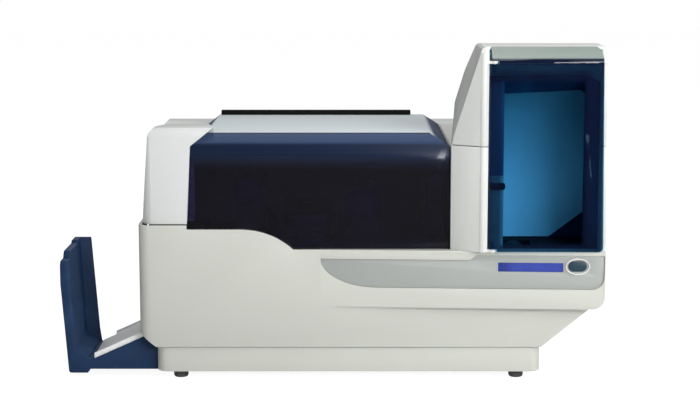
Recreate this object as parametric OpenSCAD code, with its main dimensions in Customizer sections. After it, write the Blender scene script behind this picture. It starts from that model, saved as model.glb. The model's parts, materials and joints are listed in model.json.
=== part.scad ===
// Desktop ID card printer: a low housing with a lift-up smoked lid, a card feeder tower with a
// clear blue door on the right and an open card hopper on the left. Millimetres, +Z up, the
// front faces -Y, and the origin is the centre of the footprint on the surface it stands on.

/* [Housing] */
// Width of the housing between its two sides
body_w = 346; // [342:1:356]
// Depth of the housing behind its main front face
body_d = 226.5; // [224:0.5:240]
// Height of the rubber feet under the base pan
foot_h = 7; // [5:0.5:10]
// Height of the skirt that the base pan shows
skirt_h = 18.6; // [17:0.2:22]
// Height of the housing's left shoulder above the skirt
shoulder_h = 91.9; // [89:0.1:98]
// Drop from the left shoulder to the low sill under the window
sill_drop = 18; // [15:0.5:20]
// Wall of every moulded cover
wall = 2.4; // [2:0.1:2.8]
// Open seam between neighbouring covers
seam = 0.7; // [0.5:0.1:0.9]
// Radius of the upright corners of the housing
corner_r = 9; // [5:0.5:11]

/* [Lid] */
// Height of the lid's white top over the left shoulder
lid_h = 58.8; // [56:0.2:66]
// Width of the white cheek left of the window
cheek_w = 33.5; // [31:0.5:36]
// Depth of the lid from its front face to its hinge side
lid_d = 165; // [160:1:170]
// Rise of the smoked band above the white top
band_rise = 9.2; // [7:0.2:11]
// Width of the slanted sides of the band
band_chamfer = 13; // [10:0.5:15]
// How far the cheek's front stands over the white top
cheek_rise = 13; // [10:0.5:14]
// How far the cheek's left side leans inwards at its top
cheek_lean = 5.6; // [3:0.2:7]
// Thickness of the smoked window
pane_t = 2.6; // [2:0.1:3]
// Height of the dark lip along the rear of the band
lip_h = 3.9; // [3:0.1:6]
// Diameter of the lid's hinge pins
lid_pin_d = 4; // [3:0.5:5]

/* [Feeder] */
// Width of the tower at its foot
tower_w = 113.8; // [112:0.2:116]
// Height of the tower over the low sill
tower_h = 150.5; // [146:0.5:160]
// How far the tower's door stands in front of the housing
tower_proud = 12.5; // [11.5:0.5:16]
// How much narrower the tower's right side is at the top
tower_draft = 2.4; // [0:0.2:3]
// Depth of the flat part of the tower's top
tower_top_d = 62; // [50:1:70]
// Thickness of the clear door
door_t = 2.8; // [2.4:0.1:3.2]
// Height of the sloped shoulder along the top of the door
door_slope_h = 10; // [8:0.5:12]
// Diameter of the door's hinge pins
door_pin_d = 2.4; // [2:0.1:2.8]

/* [Cards] */
// Length of one card
card_l = 85.6; // [85:0.1:86.5]
// Width of one card
card_w = 54; // [53.5:0.1:54.5]
// Room that a card has on each side
card_play = 1; // [0.6:0.1:1.4]
// Reach of the hopper beyond the left side of the housing
hopper_reach = 60; // [56:1:66]
// Height of the hopper's end wall
hopper_h = 94; // [80:1:100]
// Slope of the card chute in degrees
chute_angle = 24.2; // [20:0.2:26]

/* [Controls] */
// Height of the raised front panel under the sill
bezel_h = 43; // [40:0.2:44]
// Width of the display
lcd_w = 48; // [42:1:52]
// Height of the display
lcd_h = 6.9; // [6:0.1:8]
// Width of the oval button
button_w = 13; // [11:0.5:15]
// Travel of the oval button
button_travel = 0.8; // [0.5:0.1:1]

/* [Mechanism] */
// Diameter of the platen roller
platen_d = 18; // [15:0.5:20]
// Diameter of the entry, middle and exit rollers
feed_d = 14; // [12:0.5:15]
// Diameter of the roller that picks a card
pick_d = 22; // [19:0.5:23]
// Diameter of the pinch rollers
pinch_d = 10; // [8:0.5:11]
// Diameter of the driven roller shafts
shaft_d = 6; // [5:0.5:7]
// Diameter of the full supply roll of ribbon
supply_d = 30; // [24:1:33]
// Diameter of the roll on the take-up spool
takeup_d = 22; // [18:1:28]
// Diameter of the spools' end caps
cap_d = 20; // [17:0.5:22]
// Thickness of the two steel frame plates
plate_t = 2; // [1.5:0.1:2.5]
// Teeth on each belt pulley
pulley_teeth = 18; // [14:1:20]

/* [Hidden] */
$fn = 64;

// clearances
run_fit = 0.05;
press_fit = 0.02;
gap = 0.3;
eps = 0.01;

// overall frame
x_min = -(body_w + hopper_reach) / 2;
x_l = x_min + hopper_reach;
x_r = -x_min;
y_min = -(body_d + tower_proud) / 2;
y_f = y_min + tower_proud;
y_b = -y_min;

// levels
z_pan = foot_h;
z_skirt = z_pan + skirt_h;
z_house = z_skirt + seam;
z_seam = z_house + shoulder_h;
z_sill = z_seam - sill_drop;
z_lid = z_seam + seam;
z_top = z_lid + lid_h - seam;
z_band = z_top + band_rise;
z_card = z_sill - 2.2;
foot_fit = 0.1;
z_tower = z_sill + foot_fit;
z_cap = z_sill + 78.5;
z_cheek = z_top + cheek_rise;
z_crown = z_sill + tower_h;

// base pan
skirt_in_l = 12.5;
skirt_in_r = 45.5;
skirt_in_y = 2;
x_skl = x_l + skirt_in_l;
x_skr = x_r - skirt_in_r;
pan_floor = 2.4;
z_floor = z_pan + pan_floor;
foot_d = 11;
foot_in_x = 17;
foot_in_y = 14;
post_d = 7;
post_h = 26;

// lid plan
lid_in = 3;
x_lid = x_l + lid_in;
y_lid = y_f + lid_in;
y_lid_b = y_lid + lid_d;
x_win = x_lid + cheek_w;
x_post = x_r - tower_w;
x_win_r = x_post - 0.9;
band_bevel_h = 6.4;
band_bevel_d = 11;
band_back = 5;
band_base = 3.2;
band_top_in = band_chamfer - 1.5;
band_fall = 1;
lip_short = 9;
win_drop = 3;
y_split = 10;
s_start = 40;
s_run = 39;
hinge_up = 4.2;
y_hinge = y_lid_b + 6;
z_hinge = z_top + hinge_up;
ear_w = 8;
ear_x = 62;
ear_r = 4;
lip_d = 6;
pane_fit = 0.6;

// tower plan
rim_r = 3.4;
x_hinge = x_post + 30;
barrel_r = 3.2;
y_barrel = y_min + barrel_r;
x_rim = x_hinge - barrel_r - 0.5;
post_slope = 20;
tower_back = y_lid_b;
tower_taper = 7;
sweep_in = 21;
back_room = 4.6;
back_drop = 23;
z_back = z_crown - back_drop;
z_door = z_sill + 0.6;
z_door_top = z_crown - door_slope_h;
x_door_r = x_r - 2.4;
knuckle_t = 2;
door_pocket = 10.4;
door_over = 1.6;
pin_in = 0.2;
pin_reach = 5.5;
pull_in = 8.6;
pull_w = 3;
pull_hook = 6;
pull_z = 60;
pull_h = 28.5;

// card bay
y_card = y_f + 41;
bay_x1 = x_r - 6.6;
bay_x0 = bay_x1 - card_l - 2 * card_play;
bay_y0 = y_card - card_w / 2 - card_play;
bay_y1 = y_card + card_w / 2 + card_play;
liner_t = 2.2;
z_liner = z_card + 0.2;
liner_air = 3.5;
liner_h = z_back - liner_air - z_liner;
guide_w = 20;
light_h = 115;

// frame plates and card path
plate_gap = card_w + 6;
y_fp = y_card - plate_gap / 2;
y_rp = y_card + plate_gap / 2;
x_frame = x_l + 47;
x_pick = bay_x0 + 31;
x_entry = x_post - 12.5;
x_mid = x_post - 57;
x_platen = x_post - 107.5;
x_exit = x_frame + 11;
z_pick = z_card + 0.3 - pick_d / 2;
z_feed = z_card - feed_d / 2;
z_platen = z_card - platen_d / 2;
card_gap = 0.8;
z_pinch = z_card + card_gap + pinch_d / 2;
bush_r = shaft_d / 2 + 2;
pinch_shaft_d = 4;
pulley_r = 6;
pulley_w = 5;
belt_t = 1.2;
y_belt = y_rp + plate_t + 3;
y_belt2 = y_belt + pulley_w + 2;
pulley2_r = 10;
motor_r = 5;
x_motor = x_platen + 3;
z_motor = z_floor + 36;
motor_w = 42;
motor_l = 34;

// ribbon
x_supply = x_platen + 43;
z_supply = z_card + 32.5;
x_takeup = x_platen - 43.5;
z_takeup = z_card + 43.8;
ribbon_w = card_w + 1;
core_r = 6;
stub_r = 3;
web_t = 0.3;
head_w = 36;
x_head0 = x_platen - head_w / 2;
x_head1 = x_platen + head_w / 2;
z_web = z_card + card_gap + 0.4;
z_head = z_web + web_t + gap;
head_h = 24;
head_lug = 3;
y_head_pin = y_rp + plate_t + 6;
z_head_pin = z_card + 14;
head_pin_d = 5;

// hopper and chute
chute_t = 2;
x_chute = x_min + 24.3;
z_chute = z_pan + 10.2;
y_hop0 = y_card - card_w / 2 - 3;
y_hop1 = y_card + card_w / 2 + 3;
duct_t = 1.8;
duct_h = 64;

// bezel and control strip
x_bez = x_post - 97.2;
bez_out = tower_proud - 1.5;
bez_a = atan(bez_out / (x_r - x_bez));
bez_l = (x_r - x_bez) / cos(bez_a);
strip_t = 1.6;
strip_in = 1.2;
strip_z0 = z_sill - 28;
strip_z1 = z_sill - 3.2;
strip_z1l = z_sill - 7;
strip_x0 = 1;
strip_step = 0.53 * bez_l;
scoop_w = 42;
lcd_x1 = bez_l - 31;
lcd_z1 = z_sill - 8.5;
btn_x1 = bez_l - 14;
btn_hh = 7.2;
btn_z1 = z_sill - 7.4;
flange_t = 1;
flange_out = 0.9;

// ---- outline helpers ----
function unit(v) = v / norm(v);
function side_in(p, q, d) = let (u = unit(q - p)) [p + d * [-u[1], u[0]], u];
function meet(a, b) =
    let (c = a[1][0] * b[1][1] - a[1][1] * b[1][0], w = b[0] - a[0])
    a[0] + a[1] * (w[0] * b[1][1] - w[1] * b[1][0]) / c;
// an outline that runs counter-clockwise, each side i moved inwards by d[i]
function inset(p, d) =
    let (n = len(p), e = [for (i = [0:n - 1]) side_in(p[i], p[(i + 1) % n], d[i])])
    [for (i = [0:n - 1]) meet(e[(i + n - 1) % n], e[i])];
// an outline with each corner i rounded to radius r[i]
function rounded(p, r, k = 6) =
    let (n = len(p))
    [for (i = [0:n - 1])
        let (c = p[i], a = unit(p[(i + n - 1) % n] - c), b = unit(p[(i + 1) % n] - c))
        let (h = acos(a * b) / 2, t = r[i] / tan(h), m = c + unit(a + b) * r[i] / sin(h))
        let (a0 = c + a * t - m, w = 180 - 2 * h, s = a[0] * b[1] - a[1] * b[0] < 0 ? 1 : -1)
        each r[i] <= 0 ? [c] : [for (j = [0:k])
            let (f = s * w * j / k)
            m + [a0[0] * cos(f) - a0[1] * sin(f), a0[0] * sin(f) + a0[1] * cos(f)]]];
function same(v, n) = [for (i = [1:n]) v];

// an outline in X and Z, swept along Y from y0 to y1
module along_y(y0, y1) {
    translate([0, y1, 0])
        rotate([90, 0, 0])
            linear_extrude(y1 - y0)
                children();
}
// an outline in Y and Z, swept along X from x0 to x1
module along_x(x0, x1) {
    translate([x0, 0, 0])
        rotate([90, 0, 90])
            linear_extrude(x1 - x0)
                children();
}
module along_z(z0, z1) {
    translate([0, 0, z0])
        linear_extrude(z1 - z0)
            children();
}
module block(x0, x1, y0, y1, z0, z1) {
    translate([x0, y0, z0])
        cube([x1 - x0, y1 - y0, z1 - z0]);
}
module rod_y(x, z, d, y0, y1) {
    translate([x, y1, z])
        rotate([90, 0, 0])
            cylinder(d = d, h = y1 - y0);
}
module rod_x(y, z, d, x0, x1) {
    translate([x0, y, z])
        rotate([0, 90, 0])
            cylinder(d = d, h = x1 - x0);
}
module rod_z(x, y, d, z0, z1) {
    translate([x, y, z0])
        cylinder(d = d, h = z1 - z0);
}

// ---- base ----
foot_xy = [
    for (x = [x_skl + foot_in_x, x_skr - foot_in_x])
        for (y = [y_f + skirt_in_y + foot_in_y, y_b - skirt_in_y - foot_in_y])
            [x, y]
];
post_xy = [
    for (x = [x_skl + 12, x_skr - wall - post_d / 2 - 2.5])
        for (y = [y_f + skirt_in_y + 10, y_b - skirt_in_y - 12])
            [x, y]
];

module rubber_feet() {
    color("#2c2c2e")
        for (p = foot_xy)
            translate([p[0], p[1], 0]) {
                cylinder(d1 = foot_d - 1.6, d2 = foot_d, h = 1.2);
                translate([0, 0, 1.2])
                    cylinder(d = foot_d, h = foot_h - 1.2);
            }
}

pan_plan = [
    [x_skl, y_f + skirt_in_y], [x_skr, y_f + skirt_in_y],
    [x_skr, y_b - skirt_in_y], [x_skl, y_b - skirt_in_y]
];

module base_pan() {
    color("#cfcfc6") {
        difference() {
            along_z(z_pan, z_skirt)
                polygon(rounded(pan_plan, same(corner_r, 4)));
            along_z(z_floor, z_skirt + 1)
                polygon(rounded(inset(pan_plan, same(wall, 4)), same(corner_r - wall, 4)));
            // slots for the hopper's two tongues
            for (y = tongue_y)
                block(x_skl - 1, x_skl + wall + 1, y - tongue_w / 2 - gap, y + tongue_w / 2 + gap,
                    z_tongue - gap, z_tongue + tongue_t + gap);
            // cooling slots in the floor
            for (i = [0:5])
                block(-20 + 12 * i, -14 + 12 * i, 40, 90, z_pan - 1, z_floor + 1);
        }
        // posts that the housing is screwed to
        for (p = post_xy)
            difference() {
                rod_z(p[0], p[1], post_d, z_floor, z_pan + post_h);
                rod_z(p[0], p[1], 2.5, z_pan + post_h - 10, z_pan + post_h + 1);
            }
        // standoffs for the main board
        for (x = board_x)
            for (y = board_y)
                rod_z(x, y, 6, z_floor, z_board);
    }
}

// ---- housing ----
// front view of the housing, counter-clockwise, with an upright limit at z
function house_front(z) = [
    [x_skl, z_house], [x_skr, z_house], [x_r - 7.5, z_sill - bezel_h], [x_r, z_sill - bezel_h + 3.5],
    [x_r, z], [x_l, z], [x_l, z_house + 10]
];
house_plan = [[x_l, y_f], [x_r, y_f], [x_r, y_b], [x_l, y_b]];
house_r = [corner_r, 3, corner_r, corner_r];

module house_solid(z, d) {
    intersection() {
        along_y(y_f - 1, y_b + 1)
            polygon(inset(house_front(z), [-d, d, d, d, -d, d, d]));
        along_z(z_house - 5, z + 5)
            polygon(rounded(inset(house_plan, same(d, 4)), [for (r = house_r) max(r - d, 0.6)]));
    }
}

// the region above the sill and the S-curve, grown downwards by g
module over_sill(g) {
    drop = sill_drop - win_drop;
    r = (s_run * s_run + drop * drop) / (2 * drop);
    difference() {
        translate([x_win, z_sill - g])
            square([body_w, body_w]);
        translate([x_l, z_house])
            square([x_win + s_start - x_l, z_seam - win_drop - g - z_house]);
        translate([x_win + s_start, z_seam - win_drop - r])
            circle(r = r - g, $fn = 128);
    }
    translate([x_l - wall, z_seam - g])
        square([x_win + s_start - x_l, body_w]);
}

module bezel_frame() {
    translate([x_bez, y_f, 0])
        rotate([0, 0, -bez_a])
            children();
}

// raised panel that ramps forward to the right
module bezel_solid() {
    bezel_plan = [[x_bez, y_f + 5], [x_bez, y_f], [x_r, y_f - bez_out], [x_r, y_f + 5]];
    intersection() {
        along_z(z_sill - bezel_h, z_sill)
            polygon(bezel_plan);
        along_y(y_min - 5, y_f + 5)
            polygon(rounded([
                [x_bez - 5, z_sill - bezel_h], [x_r, z_sill - bezel_h],
                [x_r, z_sill + 5], [x_bez - 5, z_sill + 5]], [0, 9, 0, 0]));
    }
}

// outline of the control strip, with a scooped left end and a stepped top edge
function strip_raw() = [
    [strip_x0 + scoop_w, strip_z0], [bez_l - 1, strip_z0], [bez_l - 1, strip_z1],
    [strip_step + 4, strip_z1], [strip_step, strip_z1l], [strip_x0, strip_z1l],
    for (i = [1:7])
        let (a = 180 + 90 * i / 8)
        [strip_x0 + scoop_w * (1 + cos(a)), strip_z1l + (strip_z1l - strip_z0) * sin(a)]
];
module strip_outline(g) {
    p = strip_raw();
    polygon(rounded(inset(p, same(-g, len(p))), [0, 9 + g, 1, 1, 1, 0.5, for (i = [1:7]) 0]));
}

module front_housing() {
    color("#cdcdc4") {
        difference() {
            union() {
                difference() {
                    intersection() {
                        house_solid(z_seam + 1, 0);
                        block(x_l - 1, x_r + 1, y_f - 1, y_split, z_house - 1, z_seam + 2);
                    }
                    house_solid(z_seam + 1, wall);
                    along_y(y_f - 1, y_split + 1)
                        over_sill(0);
                }
                bezel_solid();
            }
            // card opening in the left side
            block(x_l - 1, x_frame - 8, y_hop0 - 2, y_hop1 + 2, z_house - 1, z_sill + 12);
            // pocket for the control strip
            bezel_frame()
                along_y(-2, strip_in + strip_t)
                    strip_outline(gap);
            // passage behind the display for its wiring
            bezel_frame()
                block(lcd_x1 - lcd_w + 6, lcd_x1 - 6, strip_in, bez_out + wall + 6,
                    lcd_z1 - lcd_h + 1, lcd_z1 - 1);
            // pocket that the button's flange travels in
            bezel_frame()
                along_y(strip_in, strip_in + strip_t + flange_t + button_travel + gap)
                    oval(btn_x1 - button_w / 2, btn_z1 - btn_hh / 2, button_w, btn_hh, flange_out + gap);
        }
        // lugs over the pan's front posts
        for (i = [0, 2])
            housing_lug(post_xy[i]);
    }
}

// lug that stands on a post of the base pan, tied to the nearest wall
module housing_lug(p) {
    front = p[1] < 0;
    yw = front ? y_f + wall / 2 : y_b - wall / 2;
    difference() {
        union() {
            rod_z(p[0], p[1], post_d, z_pan + post_h, z_pan + post_h + 4);
            block(p[0] - 3, p[0] + 3, min(yw, p[1]), max(yw, p[1]), z_pan + post_h, z_pan + post_h + 4);
        }
        rod_z(p[0], p[1], 3.4, z_pan + post_h - 1, z_pan + post_h + 5);
    }
}

module rear_cover() {
    y0 = y_split + seam;
    y1 = y_lid_b + seam;
    color("#cdcdc4") {
        difference() {
            union() {
                difference() {
                    house_solid(z_seam, 0);
                    block(x_l - 1, x_r + 1, y_f - 5, y0, z_house - 5, z_seam + 5);
                    block(x_win_r, x_r + 1, y0 - 1, y1, z_sill, z_seam + 5);
                }
                upper_rear(0, y1);
            }
            house_solid(z_seam - wall, wall);
            upper_rear(wall, y1 + wall);
            block(x_lid + wall, x_r - wall - 4, y0 - 1, y1 + wall, z_seam - wall - 1, z_seam + 1);
            block(x_lid + wall, x_r - wall - 4, y1 + wall - 1, y_b - wall - 4, z_seam - wall - 1, z_seam + 1);
            // air vents in the back
            for (i = [0:9])
                block(-90 + 10 * i, -84 + 10 * i, y_b - wall - 2, y_b + 1, z_seam + 8, z_seam + 38);
            // openings for the switch and the sockets
            for (c = rear_ports)
                block(c[0] - c[2] / 2 - gap, c[0] + c[2] / 2 + gap, y_b - wall - 2, y_b + 1,
                    c[1] - c[3] / 2 - gap, c[1] + c[3] / 2 + gap);
        }
        // hinge brackets for the lid
        for (s = [-1, 1])
            difference() {
                hinge_bracket(x_band_mid + s * (ear_x + ear_w + 0.5));
                rod_x(y_hinge, z_hinge, lid_pin_d + 2 * press_fit, x_l, x_r);
            }
        for (i = [1, 3])
            housing_lug(post_xy[i]);
    }
}

x_band_mid = (x_win + x_win_r) / 2;

module hinge_bracket(x) {
    rod_x(y_hinge, z_hinge, 2 * ear_r, x - ear_w / 2, x + ear_w / 2);
    block(x - ear_w / 2, x + ear_w / 2, y_hinge - ear_r, y_hinge + ear_r, z_top - wall / 2, z_hinge);
}

// raised rear part of the housing, behind the lid
module upper_rear(d, y0) {
    plan = [[x_lid, y0 - d], [x_r - 1, y0 - d], [x_r - 1, y_b], [x_lid, y_b]];
    side = [
        [y0 - 40, z_seam - 20], [y_b, z_seam - 20], [y_b, z_top - 16], [y_b - 12, z_top], [y0 - 40, z_top]
    ];
    intersection() {
        along_z(z_seam - 8, z_top + 1)
            polygon(rounded(inset(plan, same(d, 4)), [0.6, 0.6, corner_r - d, corner_r - d]));
        along_x(x_l - 1, x_r + 1)
            polygon(rounded(inset(side, same(d, 5)), [0, 0, 12, 12, 0]));
    }
}

// [x, z, width, height] of the cut-outs in the back
rear_ports = [
    [x_skr - 24, z_house + 22, 21, 15],
    [x_skr - 62, z_house + 22, 28, 20],
    [x_skr - 100, z_house + 22, 13, 12],
    [x_skr - 124, z_house + 22, 17, 14]
];

// ---- feeder tower ----
// front view of the tower, counter-clockwise, with the swept left side above the cap's seam
function tower_front() = [
    [x_post, z_tower], [x_r, z_tower], [x_r - tower_draft, z_crown], [x_post + sweep_in + 2, z_crown],
    [x_post + sweep_in, z_crown - 1.5], [x_post + 1.5, z_cap + 6], [x_post, z_cap - 2]
];

// plan of the tower, down to its back at y1, where its left side has drawn in by t
module tower_plan_shape(d, y1, t) {
    polygon([
        [x_post + d, y_f + 0.5 + d], [x_post + post_slope + d / 2, y_min + 2 + d],
        [x_r + 1, y_min + 2 + d], [x_r + 1, y1 - d], [x_post + t + d, y1 - d]
    ]);
}

module tower_mass(d) {
    intersection() {
        along_y(y_min - 1, y_b)
            polygon(inset(tower_front(), [-d, d, d, d, d, d, d]));
        along_x(x_post - 1, x_r + 1)
            polygon(rounded(inset([
                [y_min, z_tower - 1], [tower_back, z_tower - 1], [tower_back, z_top],
                [y_tower_b, z_top], [y_tower_b, z_back],
                [y_min + tower_top_d, z_crown], [y_min, z_crown]],
                [-2 * d - 1, d, d, d, d, d, d]), [0, 0, 0, 0, 10, 20, 0]));
        // the left side draws in to the rear above the lid
        union() {
            along_z(z_tower - 1, z_top - d)
                tower_plan_shape(d, tower_back, 0);
            along_z(z_top - d - 1, z_crown + 1)
                tower_plan_shape(d, y_tower_b, tower_taper);
        }
    }
}
y_tower_b = bay_y1 + liner_t + wall + back_room;

// opening that the door covers
module door_opening() {
    block(x_rim, x_r + 5, y_min - 5, y_min + door_pocket, z_tower - 5, z_crown + 5);
    block(x_rim, bay_x1 + liner_t + 0.2, y_min, y_min + door_pocket + 2 * wall, z_tower - 5, z_door_top - 4);
}

module tower_rim() {
    rod_z(x_rim - rim_r, y_min + 0.6 + rim_r, 2 * rim_r, z_tower, z_crown - 4);
}

module tower_shell() {
    difference() {
        union() {
            difference() {
                tower_mass(0);
                tower_mass(wall);
                door_opening();
            }
            tower_rim();
            // right wall beside the card bay
            intersection() {
                block(bay_x1 + liner_t + 0.2, x_r + 1, y_min + door_t + 0.5, bay_y1 + 6,
                    z_tower, z_crown - 12);
                tower_mass(0);
            }
            // rim's web back to the cheek
            block(x_rim - 2 * rim_r, x_rim - 2 * rim_r + wall, y_min + rim_r, y_min + rim_r + 8,
                z_tower, z_crown - 8);
        }
        // slits that the door's barrel turns beside
        rod_z(x_hinge, y_barrel, 2 * barrel_r + 1, z_door - 0.5, z_crown + 1);
    }
    // knuckles around the door's pins
    for (z = knuckle_z)
        difference() {
            union() {
                rod_z(x_hinge, y_barrel, 2 * barrel_r - 0.6, z, z + knuckle_t);
                block(x_rim - rim_r, x_hinge, y_barrel - barrel_r + 1, y_barrel + barrel_r - 1,
                    z, z + knuckle_t);
            }
            rod_z(x_hinge, y_barrel, door_pin_d + 2 * press_fit, z - 1, z + knuckle_t + 1);
        }
}

knuckle_z = [z_door - 0.4, z_door_top - knuckle_t];

module feeder_tower() {
    color("#d4d4cc")
        intersection() {
            tower_shell();
            block(x_l, x_r + 5, y_min - 5, y_b, z_tower, z_cap - seam);
        }
}

module tower_cap() {
    color("#d8d8d0")
        intersection() {
            tower_shell();
            block(x_l, x_r + 5, y_min - 5, y_b, z_cap, z_crown + 5);
        }
}

module feeder_door() {
    zb = z_door;
    slope_d = 10;
    x_pull = x_door_r - pull_in;
    z_pull = zb + pull_z;
    color("#0c2f6a", 0.6)
        difference() {
            union() {
                // pane and sloped shoulder
                intersection() {
                    along_x(x_hinge - door_over, x_r)
                        polygon(rounded([
                            [y_min, zb], [y_min + door_t, zb], [y_min + door_t, z_door_top - 1],
                            [y_min + slope_d, z_crown - door_t - 0.6], [y_min + slope_d, z_crown],
                            [y_min, z_door_top]], [0, 0, 3, 0, 0, 4]));
                    along_y(y_min - 1, y_min + slope_d + 1)
                        polygon(rounded([
                            [x_hinge, zb], [x_door_r, zb], [x_door_r - tower_draft, z_crown + 1],
                            [x_hinge - door_over, z_crown + 1], [x_hinge - door_over, z_door_top + gap],
                            [x_hinge, z_door_top + gap]], [0, 3, 8, 0, 0, 0]));
                }
                // hinge barrel along the left edge
                rod_z(x_hinge, y_barrel, 2 * barrel_r, zb, z_door_top);
                // finger pull beside the right edge
                along_y(y_min + door_t - eps, y_min + door_t + 3)
                    polygon(rounded([
                        [x_pull - pull_w, z_pull], [x_pull, z_pull], [x_pull, z_pull + pull_h],
                        [x_pull - pull_hook, z_pull + pull_h], [x_pull - pull_hook, z_pull + pull_h - pull_w],
                        [x_pull - pull_w, z_pull + pull_h - pull_w]], [1, 1, 1, 1, 1, 0]));
            }
            // slits for the tower's knuckles
            for (z = knuckle_z)
                block(x_hinge - 5, x_hinge + barrel_r + 0.3, y_min - 1, y_barrel + 5,
                    z - gap, z + knuckle_t + gap);
            rod_z(x_hinge, y_barrel, door_pin_d + 2 * run_fit,
                zb - 1, knuckle_z[0] + knuckle_t + pin_reach + 0.5);
            rod_z(x_hinge, y_barrel, door_pin_d + 2 * run_fit, knuckle_z[1] - pin_reach - 0.5, z_door_top);
        }
}

module door_hinge_pins() {
    color("#b9bcc0") {
        rod_z(x_hinge, y_barrel, door_pin_d, knuckle_z[0] + pin_in, knuckle_z[0] + knuckle_t + pin_reach);
        rod_z(x_hinge, y_barrel, door_pin_d, knuckle_z[1] - pin_reach, knuckle_z[1] + knuckle_t - pin_in);
    }
}

module feeder_liner() {
    z1 = z_liner + liner_h;
    color("#10182e")
        difference() {
            union() {
                block(bay_x0 - liner_t, bay_x0, bay_y0 - liner_t, bay_y1 + liner_t, z_liner, z1);
                block(bay_x1, bay_x1 + liner_t, bay_y0 - 7.5, bay_y1 + liner_t, z_liner, z1);
                block(bay_x0 - eps, bay_x1 + eps, bay_y1, bay_y1 + liner_t, z_liner, z1);
                block(bay_x0 - eps, bay_x0 + guide_w, bay_y0 - liner_t, bay_y0, z_liner, z1);
            }
            // slot that a card leaves through, above the gate's travel
            block(bay_x0 - liner_t - 1, bay_x0 + 1, bay_y0 + card_play - 1, bay_y1 - card_play + 1,
                z_liner - 1, z_card + 4);
        }
}

module feeder_back_panel() {
    x1 = bay_x1 - 0.4;
    color("#dfe6ea")
        along_y(bay_y1 - 1.3, bay_y1)
            polygon(rounded([
                [bay_x0 + guide_w + 1, z_liner + 0.6], [x1 - 26, z_liner + 0.6], [x1, z_liner + 20],
                [x1, z_liner + light_h], [bay_x0 + guide_w + 1, z_liner + light_h - 3]],
                [0, 3, 3, 4, 4]));
}

module feeder_floor() {
    color("#1a1f2c")
        difference() {
            block(bay_x0 - liner_t, bay_x1 + liner_t, y_fp - plate_t, y_rp + plate_t, z_card - 3, z_card);
            block(x_pick - pick_d / 2 - 2, x_pick + pick_d / 2 + 2, y_card - 13, y_card + 13,
                z_card - 5, z_card + 1);
        }
}

// sliding gate that sets how thick a card may pass, with its thumb knob
gate_w = 10;
z_knob = z_liner + 46;
knob_h = 5;
gate_h = 56;
gate_x = bay_x0 + guide_w - gate_w;
module thickness_gate() {
    y1 = bay_y0 - liner_t - 0.2;
    color("#a9adb2")
        block(gate_x, gate_x + gate_w, y1 - 1.2, y1, z_liner + 1.5, z_liner + gate_h);
}
module gate_knob() {
    y1 = bay_y0 - liner_t - 1.4;
    color("#0b0d12")
        along_y(y1 - 3.4, y1)
            polygon(rounded([
                [gate_x - 1, z_knob], [gate_x + gate_w + 1, z_knob], [gate_x + gate_w + 1, z_knob + knob_h],
                [gate_x - 1, z_knob + knob_h]], same(1.6, 4)));
}

// ---- control panel ----
module control_panel() {
    color("#c4c8c6")
        bezel_frame()
            difference() {
                along_y(strip_in, strip_in + strip_t)
                    strip_outline(0);
                // display window
                block(lcd_x1 - lcd_w, lcd_x1, 0, 6, lcd_z1 - lcd_h, lcd_z1);
                // button opening
                along_y(0, 6)
                    oval(btn_x1 - button_w / 2, btn_z1 - btn_hh / 2, button_w, btn_hh, gap);
            }
}
module oval(x, z, w, h, g) {
    for (s = [-1, 1])
        translate([x + s * (w - h) / 2, z])
            circle(r = h / 2 + g);
    translate([x - (w - h) / 2, z - h / 2 - g])
        square([w - h, h + 2 * g]);
}
module lcd_display() {
    color("#3f58a8")
        bezel_frame() {
            block(lcd_x1 - lcd_w + 0.1, lcd_x1 - 0.1, strip_in + 0.5, strip_in + strip_t,
                lcd_z1 - lcd_h + 0.1, lcd_z1 - 0.1);
        }
}
module panel_button() {
    color("#2a4050")
        bezel_frame() {
            along_y(strip_in - button_travel - 0.4, strip_in + strip_t + flange_t)
                oval(btn_x1 - button_w / 2, btn_z1 - btn_hh / 2, button_w, btn_hh, 0);
            along_y(strip_in + strip_t, strip_in + strip_t + flange_t)
                oval(btn_x1 - button_w / 2, btn_z1 - btn_hh / 2, button_w, btn_hh, flange_out);
        }
}

// ---- lid ----
lid_plan = [[x_lid, y_lid], [x_win_r, y_lid], [x_win_r, y_lid_b], [x_lid, y_lid_b]];

// x of the band's slanted left side at a height over the white top
function slant_x(h) = x_win + band_base + h * band_top_in / band_rise;
cheek_r = 7;

module lid_block(d) {
    front = [
        [x_lid, z_lid], [x_win_r, z_lid], [x_win_r, z_top], [slant_x(0), z_top],
        [slant_x(cheek_rise), z_cheek], [x_lid + cheek_lean, z_cheek]
    ];
    side = [
        [y_lid, z_lid], [y_lid_b, z_lid], [y_lid_b, z_top], [y_lid + 2 * cheek_r, z_cheek], [y_lid, z_cheek]
    ];
    intersection() {
        along_z(z_sill, z_cheek)
            polygon(rounded(inset(lid_plan, same(d, 4)), [corner_r - d, 0.6, 0.6, 0.6]));
        along_y(y_lid - 1, y_lid_b + 1)
            polygon(rounded(inset(front, [-d, d, d, d, d, d]), [0, 0, 0, 0, 0, cheek_r - d]));
        along_x(x_lid, x_win_r)
            polygon(rounded(inset(side, [-d, d, d, d, d]), [0, 0, 0, 0, cheek_r - d]));
    }
}

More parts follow.
